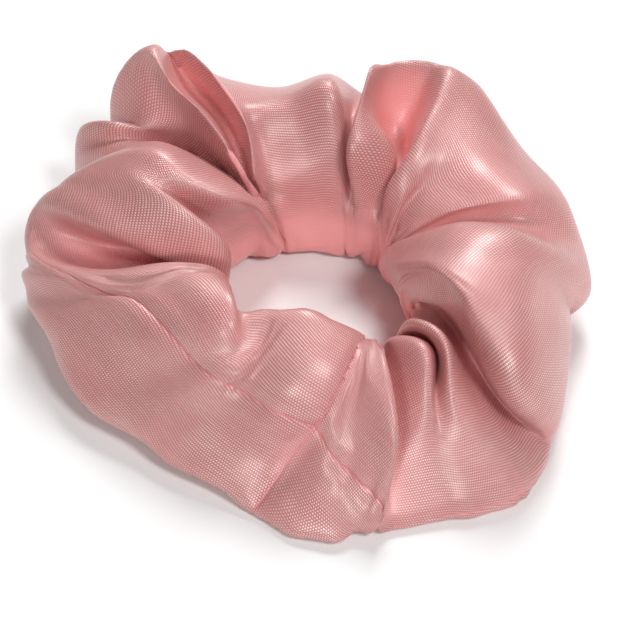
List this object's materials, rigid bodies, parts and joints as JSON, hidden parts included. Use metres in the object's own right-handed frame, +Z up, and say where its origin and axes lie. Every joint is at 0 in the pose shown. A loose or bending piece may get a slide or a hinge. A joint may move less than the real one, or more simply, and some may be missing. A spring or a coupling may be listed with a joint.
{
  "type": "scrunchie",
  "caption": "Gathered satin hair tie: a puffy fabric ring sewn from a strip, with a loop of flat elastic running inside it.",
  "frame": {"origin": "centre of the ring, on the surface it rests on", "axes": "+Z up through the ring's opening, -Y towards the side where the cloth's end-to-end seam is, +X to the right of that"},
  "size_m": [0.112, 0.112, 0.036],
  "materials": {
    "satin": "woven satin with a soft sheen, dusty pink",
    "thread": "polyester sewing thread, pink",
    "elastic": "flat braided elastic, white",
    "elastic_thread": "polyester sewing thread, white"
  },
  "bodies": {
    "cover": {"satin_tube": "satin", "long_seam_needle_thread": "thread", "long_seam_bobbin_thread": "thread", "cross_seam_needle_thread": "thread", "cross_seam_bobbin_thread": "thread", "closing_stitches": "thread"},
    "elastic": {"elastic_band": "elastic", "elastic_lap_needle_thread": "elastic_thread", "elastic_lap_bobbin_thread": "elastic_thread"}
  },
  "joints": [
    {"name": "elastic_turn", "type": "hinge", "parent": "cover", "child": "elastic", "pos_m": [0, 0, 0.01], "axis": [0, 0, 1], "continuous": true}
  ]
}
